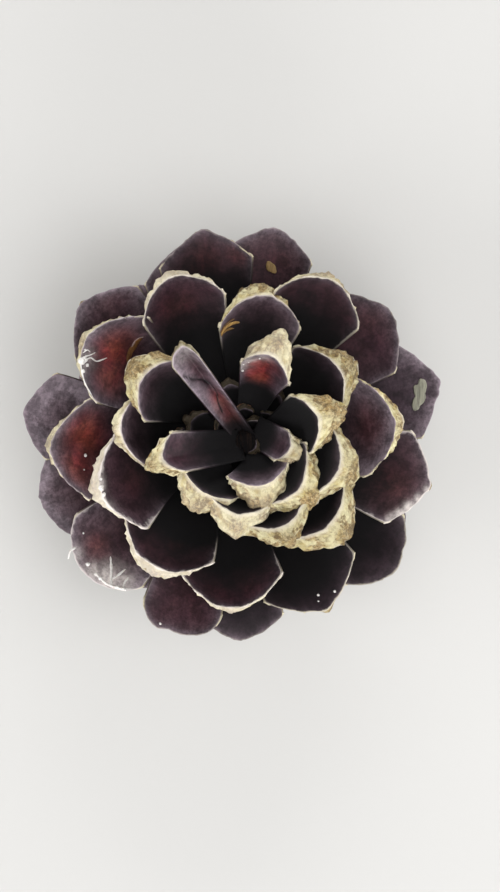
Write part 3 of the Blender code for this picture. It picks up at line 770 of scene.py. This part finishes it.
def axis_skin():
    """The woody axis as a turned body with a rough skin, and the ringed stalk scar under it."""
    heights, radii = zip(*AXIS_PROFILE)
    levels = np.concatenate([np.linspace(low, high, AXIS_STEPS, endpoint=False)
                             for low, high in zip(heights, heights[1:])] + [heights[-1:]])
    rings = [(0, part) for part in SCAR_RINGS]
    rings += [(level, 1.0) for level in levels[1:]] + [(heights[-1], 0.5)]
    levels, parts = np.array(rings).T
    radius = np.interp(levels, heights, radii) * parts
    levels[list(RAISED_RINGS)] += RING_HEIGHT
    centres = levels[:, None] * (0, 0, 1)
    points, faces = oval_skin(centres, np.eye(3)[0], np.eye(3)[1], radius, radius, AXIS_SIDES)
    rough = value_noise(points * AXIS_GRAIN_PER_MM, AXIS_SEED)
    points[:, :2] *= (1 + AXIS_GRAIN * rough * (points[:, 2] > AXIS_GRAIN_FROM))[:, None]
    return points, faces


def unit(vectors):
    """The same directions with a length of one."""
    return vectors / np.linalg.norm(vectors, axis=-1, keepdims=True)


def face_spot(number, along, across, above):
    """Place on a scale's inner face in millimetres, with the ways out, sideways and up from it."""
    scale = grow_scale(number)
    near, across = min(along, FACE_LIMITS[0]), min(across, FACE_LIMITS[1])
    (spot, behind, beside), _ = scale_skin(
        scale, np.array((near, near - FACE_STEP, near)),
        np.array((across, across, across + FACE_STEP)), np.zeros(3))
    out = unit(spot - behind)
    up = unit(np.cross(out, beside - spot))
    return spot + up * above + out * (along - near) * scale["length"], out, np.cross(up, out), up


def drop_skin(number, along, across, radius):
    """Lumpy drop of dried resin that sits on a scale."""
    spot, out, sideways, up = face_spot(number, along, across, DROP_RAISED * radius)
    tall = np.sin(np.radians(np.linspace(-80, 80, DROP_RINGS)))
    wide = radius * np.sqrt(1 - tall ** 2)
    centres = spot + DROP_HEIGHT * radius * tall[:, None] * up
    points, faces = oval_skin(centres, out, sideways, wide, wide, DROP_SIDES)
    lump = value_noise(points / (DROP_LUMP_SIZE * radius), DROP_SEED)
    return spot + (points - spot) * (1 + DROP_LUMPS * lump[:, None]), faces


def thread_skin(number, radius, *spots):
    """Thin thread of dried resin along some places over a scale, thinner towards its ends."""
    found = [face_spot(number, *spot) for spot in spots]
    path = np.array([place for place, *_ in found])
    steps = np.linspace(0, len(path) - 1, THREAD_STEPS * len(path))
    path = np.stack([np.interp(steps, range(len(path)), column) for column in path.T], 1)
    for _ in range(THREAD_SMOOTHINGS):
        path[1:-1] = (path[:-2] + 2 * path[1:-1] + path[2:]) / 4
    ahead = unit(np.gradient(path, axis=0))
    first = unit(np.cross(found[0][3], ahead))
    size = radius * np.minimum(1, 0.3 + 1.1 * np.sin(np.linspace(0.2, 0.95, len(path)) * math.pi))
    size *= 1 + THREAD_LUMPS * value_noise(path / THREAD_LUMP_SIZE, THREAD_SEED)
    return oval_skin(path, first, np.cross(ahead, first), size, size, THREAD_SIDES)


def scrap_skin(number, start, end, width, curl):
    """Thin curled scrap, widest in its middle, that lies on a scale between two places."""
    part = np.linspace(-1, 1, SCRAP_RINGS)
    spots = [face_spot(number, *((1 - t) / 2 * np.array(start) + (1 + t) / 2 * np.array(end)),
                       SCRAP_RAISED + curl * t ** 2) for t in part]
    path, up = np.array([spot[0] for spot in spots]), np.array([spot[3] for spot in spots])
    side = unit(np.cross(up, np.gradient(path, axis=0)))
    path += SCRAP_SWAY * width * value_noise(path / SCRAP_SWAY_SIZE, SWAY_SEED)[:, None] * side
    wide = 0.5 * width * np.maximum(1 - part ** 2, 0.02) ** 0.5
    wide *= 1 + SCRAP_LUMPS * value_noise(path / SCRAP_LUMP_SIZE, SCRAP_SEED)
    return oval_skin(path, side, up, wide, np.full(len(part), SCRAP_THICKNESS), SCRAP_SIDES)


# ---------------------------------------------------------------- materials

class Shade:
    """Value or colour in a shader tree; reckoning with it adds the nodes that work it out."""

    def __init__(self, socket):
        self.socket = socket

    def __add__(self, other):
        return reckoned("ADD", self, other)

    def __sub__(self, other):
        return reckoned("SUBTRACT", self, other)

    def __mul__(self, other):
        return reckoned("MULTIPLY", self, other)

    def __truediv__(self, other):
        return reckoned("DIVIDE", self, other)

    def __rtruediv__(self, other):
        return reckoned("DIVIDE", other, self)


def node(tree, kind, sockets=None, **settings):
    """New shader node; sockets are given by name or number, as a value or as what feeds them."""
    made = tree.nodes.new(kind)
    for key, value in settings.items():
        setattr(made, key, value)
    for key, value in (sockets or {}).items():
        socket = made.inputs[key]
        if isinstance(value, Shade):
            tree.links.new(value.socket, socket)
        else:
            socket.default_value = (*value, 1.0) if socket.type == "RGBA" else value
    return made


def shade(kind, sockets, output=0, **settings):
    """What a new shader node gives, in the tree of the shades that feed it."""
    tree = next(value.socket.id_data for value in sockets.values() if isinstance(value, Shade))
    return Shade(node(tree, kind, sockets, **settings).outputs[output])


def reckoned(what, *values):
    """Result of a math node of this kind on some values and shades."""
    return shade("ShaderNodeMath", dict(enumerate(values)), operation=what)


def faded(distance, rate):
    """From 1 at no distance down to 0, the sooner the higher the rate."""
    return reckoned("EXPONENT", distance * -rate)


def ramp(value, low, high, start=0.0, end=1.0):
    """Value that goes smoothly from start at low to end at high."""
    return shade("ShaderNodeMapRange", {"Value": value, "From Min": low, "From Max": high,
                                        "To Min": start, "To Max": end},
                 interpolation_type="SMOOTHSTEP")


def blend(part, under, over, how="MIX"):
    """Colour over laid on the colour under, by part."""
    return shade("ShaderNodeMix", {0: part, 6: under, 7: over}, 2, data_type="RGBA",
                 blend_type=how)


def toned(colour, pattern, low, high, darkest, brightest):
    """Colour made darker where the pattern is low, and brighter where it is high."""
    return blend(1.0, colour, ramp(pattern, low, high, darkest, brightest), "MULTIPLY")


def cloud(place, size, detail=4.0, stretch=None, rough=0.55):
    """Cloudy pattern from 0 to 1, its patches about size millimetres across."""
    if stretch:
        place = shade("ShaderNodeVectorMath", {0: place, 1: stretch}, operation="MULTIPLY")
    return shade("ShaderNodeTexNoise", {"Vector": place, "Scale": 1 / size, "Detail": detail,
                                        "Roughness": rough}, "Fac")


def marks_of(tree, *keys):
    """What a mesh keeps for each point under these keys: a vector, a colour or a value."""
    kinds = {"place": "Vector", "tint": "Color"}
    return [Shade(node(tree, "ShaderNodeAttribute", attribute_name=key,
                       attribute_type="GEOMETRY").outputs[kinds.get(key, "Fac")]) for key in keys]


def specks(place, size, amount):
    """Small dark specks that gather in loose patches."""
    fine, patch = cloud(place, size, 3.0, rough=0.7), cloud(place, 2.4, 2.0)
    return [ramp((patch + amount) * 0.30 + fine, 0.87, 0.94)]


def white_crust(place, distance, frost):
    """White crust of dried resin that reaches in from an edge in ragged steps."""
    ragged = ramp(cloud(place, 1.4, 4.0, rough=0.6), 0.3, 0.7, 0.2, 2.2)
    inside = ramp(distance / (ragged * frost), 0.1, 1.4, 1.0, 0.0)
    return [inside * reckoned("MINIMUM", frost * 2.0, 0.85)]


def dry_grain(place, fibres, pores):
    """Fine fibres and pores of dry wood, as a height, and the fibres alone."""
    streaks = cloud(place, 0.35, 5.0, stretch=(1.0, 0.09, 1.0), rough=0.7)
    return streaks * fibres + cloud(place, 0.16, 3.0, rough=0.65) * pores, streaks


# Shared effects: what makes them, what they are given and what they give
EFFECTS = {
    "Specks": (specks, ("Place", "Size", "Amount"), ("Mask",)),
    "White crust": (white_crust, ("Place", "Distance", "Frost"), ("Mask",)),
    "Dry grain": (dry_grain, ("Place", "Fibres", "Pores"), ("Height", "Streaks")),
}


def effect_group(name):
    """New shader node group of a shared effect."""
    make, inputs, outputs = EFFECTS[name]
    group = bpy.data.node_groups.new(name, "ShaderNodeTree")
    for in_out, sockets in (("INPUT", inputs), ("OUTPUT", outputs)):
        for socket in sockets:
            kind = "NodeSocketVector" if socket == "Place" else "NodeSocketFloat"
            group.interface.new_socket(socket, in_out=in_out, socket_type=kind)
    given, result = group.nodes.new("NodeGroupInput"), group.nodes.new("NodeGroupOutput")
    made = make(*(Shade(given.outputs[socket]) for socket in inputs))
    for socket, value in zip(outputs, made):
        group.links.new(value.socket, result.inputs[socket])
    return group


def effect(name, *values):
    """What a shared effect gives for a place and two more values; its group is made only once."""
    group = bpy.data.node_groups.get(name) or effect_group(name)
    made = node(values[0].socket.id_data, "ShaderNodeGroup", dict(enumerate(values)),
                node_tree=group)
    return [Shade(socket) for socket in made.outputs]


def inner_face(tree, looks):
    """Face that looks up the cone: plum, warm in its middle, greyish with painted sheen towards the
    edge, with a painted highlight along it and painted shade towards the root.
    """
    place, edge, lit, dust_and_sheen, red, pale, frost, film, crack = marks_of(
        tree, "place", "edge_mm", "lit", "dust_and_sheen", "red", "pale", "frost", "film", "crack")
    height, streaks = effect("Dry grain", place, 0.35, 0.5)
    soft = cloud(place, 2.8, stretch=(1.0, 0.6, 1.0))
    fine = cloud(place, 0.6, 5.0, rough=0.7)

    # Warm patches
    warm = ramp(edge, 0.2, 1.4) * ramp(soft, 0.3, 0.6, 0.6, 1.1) * ramp(fine, 0.3, 0.6, 0.75, 1.1)
    browner = [part * share for part, share in zip(looks.warm_colour, (0.9, 1.6, 1.0))]
    hue = blend(ramp(cloud(place, 4.5, 2.0), 0.4, 0.6), looks.warm_colour, browner)
    colour = blend(warm * red, looks.inner_colour, hue)
    # Greyish coat with painted sheen, thickest towards the edge, and a thin painted highlight along
    # the very edge of every scale
    mottled = fine * 0.5 + soft
    edge_sheen_and_dust = (faded(edge, 0.45) * 0.85 + 0.06) * ramp(mottled, 0.45, 0.95, 0.35, 1.0)
    edge_highlight = faded(edge, 1.8) * ramp(mottled, 0.45, 0.95, 0.35, 0.65)
    colour = blend(edge_sheen_and_dust * dust_and_sheen + edge_highlight, colour, looks.dust_and_sheen_colour)
    # Mottling and faint fibres
    colour = toned(colour, cloud(place, 2.2, rough=0.6), 0.38, 0.6, 0.6, 1.1)
    colour = toned(colour, fine, 0.3, 0.7, 0.75, 1.2)
    colour = toned(colour, streaks, 0.3, 0.7, 0.9, 1.1)
    # Deep shade colour towards the root
    rooted = ramp((soft - 0.5) * 0.5 + lit, 0.0, 1.0)
    colour = blend(rooted, looks.root_shade_colour, colour)
    # Painted highlight: a pale line along the edge
    line = ramp(edge / (cloud(place, 0.8, 3.0) * 0.5 + 0.02), 0.4, 1.5, 1.0, 0.0)
    rim = blend(dust_and_sheen, looks.rim_highlight_colour, [1.6 * part for part in looks.dust_and_sheen_colour])
    colour = blend(line * pale, colour, rim)
    # Crust and film of resin, and the crack painted dark as shade
    ragged = ramp(cloud(place, 1.2, 5.0, rough=0.7), 0.35, 0.65, 0.45, 1.1)
    crust, = effect("White crust", place, edge, frost)
    colour = blend(reckoned("MAXIMUM", crust, film * ragged), colour, looks.frost_colour)
    colour = blend(crack, colour, looks.root_shade_colour)
    return colour, ramp(rooted, 0.0, 1.0, 0.9, 0.5), height


def shield_face(tree, looks):
    """Thick scale end: cream with olive specks, tan in its low places and round the boss, and a
    painted highlight along its upper rim.
    """
    place, below, boss, lump, cream, frost = marks_of(
        tree, "place", "below_mm", "boss", "lump", "cream", "frost")
    soft = cloud(place, 1.6)
    fine = cloud(place, 0.35, rough=0.7)

    pale, golden = ([share * part for share, part in zip(tones, looks.shield_colour)]
                    for tones in ((1.2, 1.26, 1.18), (0.86, 0.8, 0.5)))
    colour = blend(ramp(soft, 0.45, 0.7), pale, golden)
    # Tan stains: the boss, the low places, and patches towards the back
    low = ramp(soft * -0.9 + lump, -0.95, -0.35, 1.0, 0.0)
    stain = reckoned("MAXIMUM", boss * 0.9, low * 0.35)
    patch = ramp(below * 0.035 + cloud(place, 2.3, 3.0, rough=0.6), 0.54, 0.63)
    stain = reckoned("MAXIMUM", stain, patch * ramp(cream, 1.0, 1.4, 0.9, 0.3))
    stain = stain * ramp(fine, 0.3, 0.6, 0.5, 1.0)
    colour = blend(stain, colour, looks.stain_colour)
    mask, = effect("Specks", place, 0.5, 0.85)
    colour = blend(mask * (stain * 0.55 + 0.22), colour, looks.speck_colour)
    # Painted highlight, whitest along the upper rim
    rim = ramp(fine * -0.9 + below, -0.25, 0.3, 0.6, 0.0)
    colour = blend(rim, colour, looks.rim_highlight_colour)
    # Scales of the tip hardly have cream, those further out are whiter; hidden scales have none,
    # which paints their shields dark as shade
    colour = blend(cream, [0.4 * part for part in looks.speck_colour], colour)
    colour = blend(cream - 1.0, colour, looks.frost_colour)
    crust, = effect("White crust", place, below, frost)
    colour = blend(crust, colour, looks.frost_colour)
    return colour, ramp(fine, 0.3, 0.7, 0.55, 0.8), fine


def outer_face(tree, looks):
    """Blade and sides seen from below: dry brown wood, with painted shade towards the root and a
    painted highlight along the thin sides.
    """
    place, edge, front, along, lit, below, cream, pale = marks_of(
        tree, "place", "edge_mm", "front_mm", "along", "lit", "below_mm", "cream", "pale")
    height, streaks = effect("Dry grain", place, 0.8, 0.4)
    soft = cloud(place, 1.8, stretch=(1.0, 0.3, 1.0))
    # Painted shade: darker towards the root
    colour = blend(ramp(along, 0.2, 0.75), looks.root_shade_colour, looks.back_colour)
    colour = blend(ramp(soft, 0.4, 0.7, 0.0, 0.5), colour, looks.inner_colour)
    # The upper part of the sides is like the inner face, with its painted shade towards the root
    upper = blend(lit, looks.root_shade_colour, looks.inner_colour)
    colour = blend(ramp(below, 0.15, 0.75), upper, colour)
    colour = toned(colour, streaks, 0.3, 0.7, 0.65, 1.35)
    # Cream spreads a little way back from the shield
    close = ramp(soft * 2.5 + front, 0.8, 3.0, 0.9, 0.0)
    colour = blend(close * cream, colour, looks.shield_colour)
    # Painted highlight along the thin sides
    side = ramp(soft * -0.5 + edge, -0.15, 0.25, 0.8, 0.0)
    return blend(side * pale, colour, looks.rim_highlight_colour), 0.68, height


def axis_wood(tree, looks):
    """Fibrous wood of the axis, near-black as painted shade, with faint brown streaks."""
    place, = marks_of(tree, "place")
    height, streaks = effect("Dry grain", place, 0.8, 0.6)
    brown = ramp(streaks, 0.4, 0.8, 0.0, 0.12)
    return blend(brown, looks.root_shade_colour, looks.back_colour), 0.75, height


def dried_resin(tree, looks):
    """Dried resin: whitish, honey coloured in places, slightly glossy."""
    fine = cloud(*marks_of(tree, "place"), 0.5, 3.0)
    honey = ramp(fine, 0.45, 0.8, 0.0, 0.5)
    return blend(honey, looks.resin_colour, looks.stain_colour), 0.35, fine


def wing_scrap(tree, looks):
    """Papery scraps of seed wings and torn wood, each in its own colour."""
    place, tint = marks_of(tree, "place", "tint")
    height, streaks = effect("Dry grain", place, 0.8, 0.4)
    return toned(tint, streaks, 0.3, 0.7, 0.6, 1.3), 0.5, height


def plain_floor(tree, looks):
    """Matt paper in metres, with hardly a cloud in it."""
    where = Shade(node(tree, "ShaderNodeTexCoord").outputs["Object"])
    paper, soft = cloud(where, 1 / 900, 3.0, rough=0.5), cloud(where, 1 / 14, 2.0, rough=0.5)
    colour = bpy.context.scene.cone_stage.floor_colour
    return blend(ramp(soft, 0.3, 0.7), colour, [0.985 * part for part in colour]), 0.85, paper


# Materials: what gives colour, roughness and height, then shine, and strength and distance of bump
MATERIALS = {
    "scale_inner_face": (inner_face, 0.22, 0.3, 0.0003),
    "scale_shield": (shield_face, 0.3, 0.7, 0.0003),
    "scale_outer_face": (outer_face, 0.2, 0.7, 0.0004),
    "axis_wood": (axis_wood, 0.1, 0.8, 0.0005),
    "dried_resin": (dried_resin, 0.5, 0.2, 0.0001),
    "seed_wing_scrap": (wing_scrap, 0.3, 0.5, 0.0002),
    "floor": (plain_floor, 0.5, 0.15, 0.0001),
}


def material_named(name):
    """Material of the table above, made only once."""
    if name in bpy.data.materials:
        return bpy.data.materials[name]
    make, shine, strength, distance = MATERIALS[name]
    material = bpy.data.materials.new(name)
    material.use_nodes = True
    tree = material.node_tree
    tree.nodes.clear()
    colour, roughness, height = make(tree, bpy.context.scene.cone_looks)
    bump = shade("ShaderNodeBump", {"Height": height, "Strength": strength, "Distance": distance})
    shader = shade("ShaderNodeBsdfPrincipled", {
        "Base Color": colour, "Roughness": roughness, "Normal": bump, "Specular IOR Level": shine})
    node(tree, "ShaderNodeOutputMaterial", {0: shader})
    return material


# ---------------------------------------------------------------- operators

class CONE_OT_crown_scales(bpy.types.Operator):
    """Make the small upright scales round the tip"""
    bl_idname = "cone.crown_scales"
    bl_label = "Crown scales"

    def execute(self, context):
        scale_piece("crown_scales", context.scene.cone_looks.lump_height)
        return {"FINISHED"}


class CONE_OT_middle_scales(bpy.types.Operator):
    """Make the opened scales between the crown and the rim of the cone"""
    bl_idname = "cone.middle_scales"
    bl_label = "Middle scales"

    def execute(self, context):
        scale_piece("middle_scales", context.scene.cone_looks.lump_height)
        return {"FINISHED"}


class CONE_OT_outer_scales(bpy.types.Operator):
    """Make the widest scales, which lie nearly flat"""
    bl_idname = "cone.outer_scales"
    bl_label = "Outer scales"

    def execute(self, context):
        scale_piece("outer_scales", context.scene.cone_looks.lump_height)
        return {"FINISHED"}


class CONE_OT_base_scales(bpy.types.Operator):
    """Make the scales that bend down round the base"""
    bl_idname = "cone.base_scales"
    bl_label = "Base scales"

    def execute(self, context):
        scale_piece("base_scales", context.scene.cone_looks.lump_height)
        return {"FINISHED"}


class CONE_OT_axis(bpy.types.Operator):
    """Make the woody axis with its stalk scar"""
    bl_idname = "cone.axis"
    bl_label = "Axis"

    def execute(self, context):
        add_piece("axis", [axis_skin()], ["axis_wood"], {})
        return {"FINISHED"}


class CONE_OT_resin(bpy.types.Operator):
    """Make the drops and threads of dried resin"""
    bl_idname = "cone.resin"
    bl_label = "Resin"

    def execute(self, context):
        skins = [drop_skin(number, *drop)
                 for number, drops in RESIN_DROPS.items() for drop in drops]
        skins += [thread_skin(*thread) for thread in RESIN_THREADS]
        add_piece("resin", skins, ["dried_resin"], {}, replaced=False)
        return {"FINISHED"}


class CONE_OT_scraps(bpy.types.Operator):
    """Make the scraps of seed wings and torn wood that stay on some scales"""
    bl_idname = "cone.scraps"
    bl_label = "Scraps"

    def execute(self, context):
        skins = [scrap_skin(*scrap) for *scrap, _ in SCRAPS]
        tints = [np.tile(tint, (len(points), 1)) for (*_, tint), (points, _) in zip(SCRAPS, skins)]
        add_piece("scraps", skins, ["seed_wing_scrap"], {"tint": tints}, replaced=False)
        return {"FINISHED"}


class CONE_OT_stage(bpy.types.Operator):
    """Make the floor, the lights and the camera"""
    bl_idname = "cone.stage"
    bl_label = "Stage"

    def execute(self, context):
        make_floor()
        make_lights(context.scene.cone_stage)
        make_camera()
        return {"FINISHED"}


def make_floor():
    """Wide plain floor under the cone."""
    mesh = bpy.data.meshes.new("floor")
    mesh.from_pydata([(x * FLOOR_HALF, y * FLOOR_HALF, 0)
                      for x, y in ((-1, -1), (1, -1), (1, 1), (-1, 1))], [], [(0, 1, 2, 3)])
    mesh.materials.append(material_named("floor"))
    floor = bpy.data.objects.new("floor", mesh)
    bpy.context.scene.collection.objects.link(floor)


def make_lights(stage):
    """Even pale sky and the soft round lights, which the camera doesn't see."""
    world = bpy.data.worlds.new("studio")
    world.use_nodes = True
    background = world.node_tree.nodes["Background"]
    background.inputs["Color"].default_value = SKY_COLOUR
    background.inputs["Strength"].default_value = stage.sky
    bpy.context.scene.world = world
    for name, (place, size, power, part) in LIGHTS.items():
        light = bpy.data.lights.new(name, "AREA")
        light.shape = "DISK"
        light.size = size
        light.energy = part * getattr(stage, power)
        lamp = bpy.data.objects.new(name, light)
        lamp.location = place
        lamp.visible_camera = False
        toward = Vector(LIGHTS_AIM) - lamp.location
        lamp.rotation_euler = toward.to_track_quat("-Z", "Y").to_euler()
        bpy.context.scene.collection.objects.link(lamp)


def make_camera():
    """Camera above the tip, where the photograph was taken from."""
    tilt, lean = math.radians(CAMERA_TILT), math.radians(CAMERA_LEAN)
    aside = math.sin(tilt)
    back = Vector((aside * math.cos(lean), aside * math.sin(lean), math.cos(tilt)))
    up = (Vector((0, 1, 0)) - back * back.y).normalized()
    right = up.cross(back)
    lens = bpy.data.cameras.new("camera")
    lens.lens = CAMERA_LENS
    lens.sensor_width = CAMERA_SENSOR
    lens.sensor_fit = "AUTO"
    lens.clip_start, lens.clip_end = CAMERA_CLIP
    lens.shift_x, lens.shift_y = CAMERA_SHIFT
    camera = bpy.data.objects.new("camera", lens)
    camera.matrix_world = Matrix.Translation(Vector(CAMERA_AIM) + back * CAMERA_DISTANCE) @ Matrix(
        (right, up, back)).transposed().to_4x4()
    bpy.context.scene.collection.objects.link(camera)
    bpy.context.scene.camera = camera


class CONE_PT_panel(bpy.types.Panel):
    """Sizes, colours and pieces of the pine cone"""
    bl_idname = "CONE_PT_panel"
    bl_label = "Pine cone"
    bl_space_type = "VIEW_3D"
    bl_region_type = "UI"
    bl_category = "Pine cone"

    def draw(self, context):
        for looks in (context.scene.cone_looks, context.scene.cone_stage):
            for key in looks.__annotations__:
                self.layout.prop(looks, key)
        for operator in OPERATORS:
            self.layout.operator(operator.bl_idname)


OPERATORS = (CONE_OT_crown_scales, CONE_OT_middle_scales, CONE_OT_outer_scales,
             CONE_OT_base_scales, CONE_OT_axis, CONE_OT_resin, CONE_OT_scraps, CONE_OT_stage)


def register():
    for made in (ConeLooks, StageLooks, *OPERATORS, CONE_PT_panel):
        bpy.utils.register_class(made)
    bpy.types.Scene.cone_looks = PointerProperty(type=ConeLooks)
    bpy.types.Scene.cone_stage = PointerProperty(type=StageLooks)


def unregister():
    del bpy.types.Scene.cone_looks
    del bpy.types.Scene.cone_stage
    for made in (CONE_PT_panel, *reversed(OPERATORS), StageLooks, ConeLooks):
        bpy.utils.unregister_class(made)


def main():
    register()
    for operator in OPERATORS:
        group, name = operator.bl_idname.split(".")
        getattr(getattr(bpy.ops, group), name)()
    bpy.context.scene.view_settings.view_transform = "Standard"


if __name__ == "__main__":
    main()
